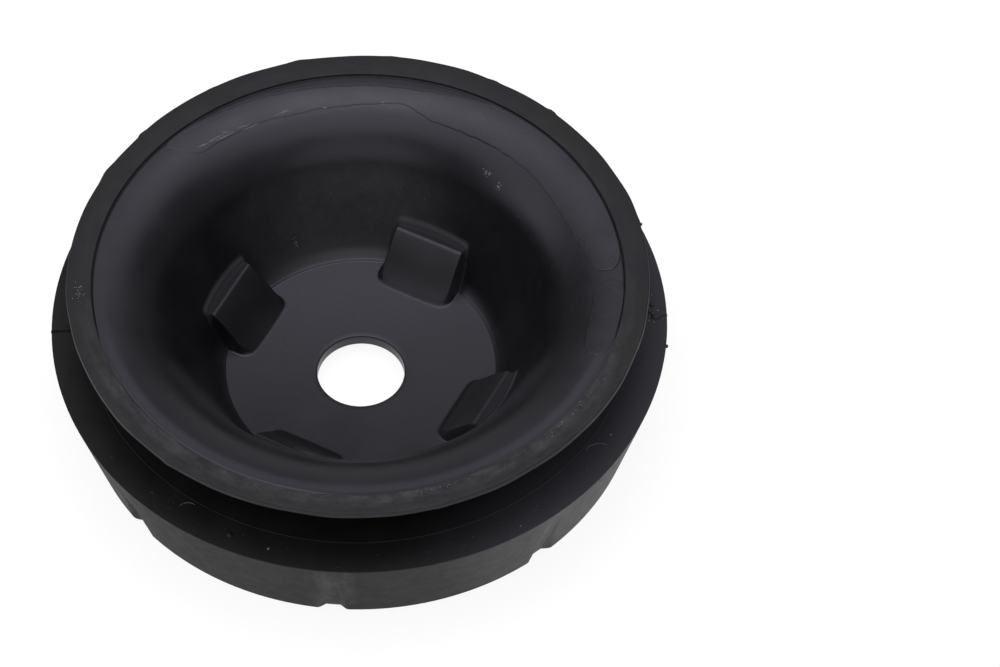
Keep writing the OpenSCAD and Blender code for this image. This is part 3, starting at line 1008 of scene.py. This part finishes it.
def steel_material():
    """Thin dark coat on the pressed steel.

    It is cloudy and finely scratched, with specks, a painted reflection of the floor low on its far wall and
    along its far crease, a paler band behind the pads, dull pad tops with painted shade, painted light on the
    pad faces on the right, a painted highlight inside the rim at the front and a dull near wall.
    """
    material, n = new_material("coated_steel")
    point = object_point(n)
    x, y, height, radius, angle = polar(n, point)

    def zone(value, name):
        return n.within(value, STEEL_ZONES[name])

    def ranged(value, name):
        return n.span(value, *STEEL_RANGES[name])

    grains = {name: n.noise(point, STEEL_GRAINS[name]) for name in ("cloudy", "fine", "specks", "mottle")}
    cloudy = grains["cloudy"]
    turned = n.vector(n.math("MULTIPLY", angle, STEEL_DRAG_STRETCH), radius)
    drag = ranged(n.noise(turned, STEEL_GRAINS["drag"]), "drag")
    aside = from_nearest(n, angle, PAD_PHASE, PAD_COUNT)
    out = n.math("MULTIPLY", radius, n.math("COSINE", aside))
    beside = n.math("ABSOLUTE", n.math("MULTIPLY", radius, n.math("SINE", aside)))
    from_far = n.math("SUBTRACT", angle, math.radians(STEEL_FAR_ANGLE))
    far = ranged(n.math("ABSOLUTE", from_far), "far")
    in_front = zone(y, "front_y")
    # Painted reflection of the floor: the far wall lighter low down
    far_wall_reflection = n.times(zone(radius, "wall_r"), zone(height, "wall_z"), far, ranged(cloudy, "far_wall_reflection"))
    far_wall_reflection = n.math("MULTIPLY", far_wall_reflection, ranged(grains["mottle"], "mottle"), True)
    # Painted reflection of the floor: a pale band just above the crease on the far side
    in_crease = n.times(zone(radius, "crease_r"), zone(height, "crease_z"), far)
    # Painted highlight: a paler bluish line inside the rim on the near side
    rim_highlight = n.times(zone(radius, "rim_highlight_in"), zone(radius, "rim_highlight_out"), in_front)
    on_top = n.times(zone(out, "top_out"), zone(beside, "top_side"), zone(height, "top_z"))
    on_face = n.times(zone(out, "face_out"), zone(beside, "face_side"), zone(height, "face_z"))
    in_corner = n.times(zone(radius, "corner_in"), zone(radius, "corner_out"), zone(beside, "corner_side"))
    near_wall = n.times(zone(radius, "near_in"), zone(radius, "near_out"), ranged(in_front, "near"))
    shares = {
        "far_wall_reflection": far_wall_reflection, "crease_reflection": in_crease, "rim_highlight": rim_highlight,
        "specks": ranged(grains["specks"], "specks"),
        # painted light: the pad faces paler on the right
        "pad_face_right_light": n.math("MULTIPLY", on_face, zone(x, "right_x")),
        # painted shade: the pad tops darker
        "pad_top_shade": on_top,
        # a paler mottled band where the pad tops meet the wall
        "pad_end_pale": n.math("MULTIPLY", in_corner, ranged(cloudy, "corner")),
    }
    base = n.mix(n.span(cloudy, *DARK_TO_PALE), colour(*STEEL_DARK), colour(*STEEL_PALE))
    for name, share in shares.items():
        base = n.laid_over(base, share, STEEL_LAYERS[name])

    dull = n.math("MULTIPLY", n.math("MAXIMUM", on_top, near_wall), STEEL_DULL)
    rough = n.math("ADD", ranged(cloudy, "rough"), n.math("MULTIPLY", drag, STEEL_DRAG_ROUGH))
    finish_material(
        n, base, n.math("ADD", rough, dull), n.weighted((grains["fine"], 0.7), (drag, 0.3)), STEEL_RELIEF,
        Specular_IOR_Level=STEEL_SHEEN, Specular_Tint=colour(*STEEL_SHEEN_TINT),
    )
    return material


def film_material(name, shine, tone, smoothest, roughest):
    """A thin skin of rubber over the coated steel. tone makes it lighter or darker."""
    material, n = new_material(name)
    point = object_point(n)
    cloudy = n.noise(point, FILM_GRAINS["cloudy"])
    dark, pale = (colour(*[c * tone for c in tint]) for tint in (FILM_DARK, FILM_PALE))
    base = n.mix(n.span(cloudy, *DARK_TO_PALE), dark, pale)
    rough = n.span(cloudy, *FILM_ROUGH_RANGE, smoothest, roughest)
    finish_material(
        n, base, rough, n.noise(point, FILM_GRAINS["fine"]), FILM_RELIEF,
        Specular_IOR_Level=shine, Specular_Tint=colour(*FILM_SHEEN_TINT),
    )
    return material


def rubber_material():
    """Black rubber: dusty on its lip, worn and scuffed on its wall, with painted light on the right of its
    wall and ring top and painted highlights beside its flutes.
    """
    material, n = new_material("moulded_rubber")
    point = object_point(n)
    x, y, height, radius, angle = polar(n, point)

    def zone(value, name):
        return n.within(value, RUBBER_ZONES[name])

    def grain(name, vector=point):
        return n.noise(vector, RUBBER_GRAINS[name])

    def ranged(value, name):
        return n.span(value, *RUBBER_RANGES[name])

    cloudy, blotch = grain("cloudy"), grain("blotch")
    near, right = zone(y, "near_y"), zone(x, "right_x")
    on_lip = n.times(zone(radius, "lip_r"), zone(height, "lip_z"))
    on_wall = n.times(zone(radius, "wall_r"), zone(height, "wall_z"))
    on_ring = n.times(zone(radius, "ring_r"), zone(height, "ring_z"))
    base = n.mix(n.span(cloudy, *DARK_TO_PALE), colour(*RUBBER_DARK), colour(*RUBBER_PALE))

    tinge = n.mix(ranged(grain("tinge"), "tinge"), colour(*LIP_WARM), colour(*LIP_COOL))
    base = n.mix(n.math("MULTIPLY", on_lip, LIP_TINGE), base, tinge)
    around = n.vector(n.math("MULTIPLY", angle, LIP_STRETCH), radius, height)
    lip_dust = n.weighted((grain("streaks", around), 0.55), (blotch, 0.25), (grain("speckle"), 0.2))
    dusty = n.times(
        on_lip, ranged(lip_dust, "lip_dust"), ranged(near, "dust_near"),
        n.within(radius, RUBBER_ZONES["lip_edge"], LIP_EDGE_DUST),
    )
    base = n.laid_over(base, dusty, RUBBER_LAYERS["lip_dust"])

    round_wall = n.math("MULTIPLY", angle, WALL_STRETCH)
    along_wall = n.vector(round_wall, n.math("MULTIPLY", height, 0.25))
    slant = n.math("ADD", round_wall, n.math("MULTIPLY", height, 0.55))
    across = n.vector(slant, n.math("MULTIPLY", height, 0.10))
    # Painted light: the wall lighter towards the right
    wall = n.math("MULTIPLY", on_wall, ranged(right, "wall_right"))
    base = n.laid_over(base, wall, RUBBER_LAYERS["wall"])
    scuffed = ranged(grain("scuff", along_wall), "scuff")
    worn = n.times(on_wall, scuffed, ranged(right, "worn_right"))
    base = n.mix(worn, base, n.mix(right, colour(*WORN_LEFT), colour(*WORN_RIGHT)))
    # Painted light: the ring's top lighter towards the right
    off_wall = n.math("SUBTRACT", on_ring, on_wall, True)
    base = n.laid_over(base, n.times(off_wall, ranged(right, "ring_right")), RUBBER_LAYERS["ring"])
    rubbed = n.times(on_wall, ranged(grain("rubbed", across), "rubbed"), ranged(right, "rubbed_right"))
    base = n.laid_over(base, rubbed, RUBBER_LAYERS["rubbed"])
    # Painted highlights: pale streaks beside each flute
    from_flute = n.math("ABSOLUTE", from_nearest(n, angle, FLUTE_PHASE, FLUTE_COUNT))
    at_flute = n.span(from_flute, *[math.radians(a) for a in FLUTE_HIGHLIGHT_ANGLES])
    flute_highlight = n.times(on_wall, at_flute, ranged(grain("flute_highlight_streaks", along_wall), "flute_highlight_streaks"))
    base = n.laid_over(base, flute_highlight, RUBBER_LAYERS["flute_highlight"])

    dull_wall = n.math("MULTIPLY", on_wall, ranged(right, "dull_left"))
    rough = n.math("ADD", ranged(blotch, "rough"), dull_wall)
    finish_material(
        n, base, rough, n.weighted((blotch, 0.3), (grain("fine"), 0.7)), RUBBER_RELIEF,
        Specular_IOR_Level=RUBBER_SHEEN, Specular_Tint=colour(*RUBBER_SHEEN_TINT),
    )
    return material


def dust_and_highlight_material():
    """Pale dry dust and fibres, also used for the pale strokes of painted highlight on the film."""
    material, n = new_material("pale_dust_and_highlights")
    grain = n.noise(object_point(n), DUST_GRAIN)
    base = n.mix(n.span(grain, *DUST_RANGE), colour(*DUST_DARK), colour(*DUST_PALE))
    rough = n.span(grain, *DUST_RANGE, *DUST_ROUGHNESS)
    finish_material(n, base, rough, grain, DUST_RELIEF, Specular_IOR_Level=DUST_SHEEN)
    return material


steel = steel_material()
black_rubber = rubber_material()
film_looks = {
    "film_back": film_material("rubber_film", 0.5, 1.0, 0.34, 0.46),
    "film_side": film_material("thin_film", 0.5, 0.65, 0.31, 0.40),
    "film_wedge": film_material("dull_film", 0.3, 1.0, 0.34, 0.46),
}

cup.data.materials.append(steel)
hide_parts("steel_cup")
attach(cup, "root")

rubber.data.materials.append(black_rubber)
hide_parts("rubber_body")
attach(rubber, "root")

pale_dust_and_highlights = dust_and_highlight_material()
looks = (
    (flash_lines, black_rubber), (hairs, pale_dust_and_highlights), (film_highlight_strokes, pale_dust_and_highlights), (rubber_crumbs, black_rubber),
    (dust_crumbs, pale_dust_and_highlights),
)
for piece, finish in looks:
    piece.data.materials.append(finish)
    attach(piece, "root")

for film in films:
    film.data.materials.append(film_looks[film.name])
    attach(film, "root")

# Floor, light and camera

FLOOR_SIZE = 12.0
FLOOR_DROP = 0.0001
FLOOR_GREY = (0.8, 0.8, 0.8)
FLOOR_SHADOW = (0.14, 0.14, 0.14)
FLOOR_GLOW = 0.9
WORLD_STRENGTH = 0.18
LAMP_AIM = Vector((0, 0, 0.02))

# Lamps as name, place, width, height and radiance
LAMPS = (
    ("top_softbox", (0, 0, 1.05), 1.7, 1.7, 1.07),
    ("overhead_lamp", (0, 0.15, 1.2), 0.6, 0.6, 2.15),
    ("front_softbox", (0, -0.75, 1.0), 0.7, 0.7, 0.4),
    ("left_window", (-1.1, 0, 0.6), 0.9, 0.9, 1.0),
    ("low_front_lamp", (0, -1.2, 0.40), 1.5, 0.8, 0.75),
    ("low_back_lamp", (0, 1.2, 0.42), 0.9, 0.9, 0.34),
)

CAMERA_AIM = Vector((0.02875, -0.00314, 0.02132))
CAMERA_ELEVATION = 52.42
CAMERA_DISTANCE = 1.2673
CAMERA_LENS = 223.31
CAMERA_SENSOR = 36.0


def floor_object():
    """A floor that looks white, with faint shadows, and lights the object as a grey one."""
    half = FLOOR_SIZE / 2
    corners = [(-half, -half, 0), (half, -half, 0), (half, half, 0), (-half, half, 0)]
    mesh = bpy.data.meshes.new("floor")
    mesh.from_pydata(corners, [], [(0, 1, 2, 3)])
    floor = bpy.data.objects.new("floor", mesh)
    floor.location.z = -FLOOR_DROP
    bpy.context.scene.collection.objects.link(floor)
    material, n = new_material("white_floor")
    path = n.add("ShaderNodeLightPath").outputs
    mirrored = n.math("MAXIMUM", path["Is Glossy Ray"], path["Is Transmission Ray"])
    seen = n.math("MAXIMUM", path["Is Camera Ray"], mirrored)
    lit = n.add("ShaderNodeBsdfDiffuse", {"Color": colour(*FLOOR_GREY)})
    faint = n.add("ShaderNodeBsdfDiffuse", {"Color": colour(*FLOOR_SHADOW)})
    glow = n.add("ShaderNodeEmission", {"Color": colour(1, 1, 1), "Strength": FLOOR_GLOW})
    white = n.add("ShaderNodeAddShader", {0: faint.outputs[0], 1: glow.outputs[0]})
    both = n.add("ShaderNodeMixShader", {0: seen, 1: lit.outputs[0], 2: white.outputs[0]})
    n.add("ShaderNodeOutputMaterial", {0: both.outputs[0]})
    mesh.materials.append(material)


def area_light(name, place, width, height, radiance):
    """A lamp of an even radiance that points at the object."""
    lamp = bpy.data.lights.new(name, "AREA")
    lamp.shape = "RECTANGLE"
    lamp.size = width
    lamp.size_y = height
    lamp.energy = radiance * math.pi * width * height
    obj = bpy.data.objects.new(name, lamp)
    obj.location = place
    obj.rotation_euler = (LAMP_AIM - Vector(place)).to_track_quat("-Z", "Y").to_euler()
    bpy.context.scene.collection.objects.link(obj)


def world_light():
    """An even, dim room."""
    world = bpy.data.worlds.new("studio")
    world.use_nodes = True
    n = Nodes(world.node_tree)
    back = n.add("ShaderNodeBackground", {"Color": colour(1, 1, 1), "Strength": WORLD_STRENGTH})
    n.add("ShaderNodeOutputWorld", {0: back.outputs[0]})
    bpy.context.scene.world = world


def photo_camera():
    """The camera of the reference view."""
    data = bpy.data.cameras.new("photo_camera")
    data.sensor_width = CAMERA_SENSOR
    data.lens = CAMERA_LENS
    camera = bpy.data.objects.new("photo_camera", data)
    c, s = along(CAMERA_ELEVATION)
    camera.location = CAMERA_AIM + CAMERA_DISTANCE * Vector((0, -c, s))
    camera.rotation_euler = (CAMERA_AIM - camera.location).to_track_quat("-Z", "Y").to_euler()
    bpy.context.scene.collection.objects.link(camera)
    bpy.context.scene.camera = camera


floor_object()
for lamp in LAMPS:
    area_light(*lamp)
world_light()
photo_camera()
bpy.context.scene.view_settings.view_transform = "Standard"
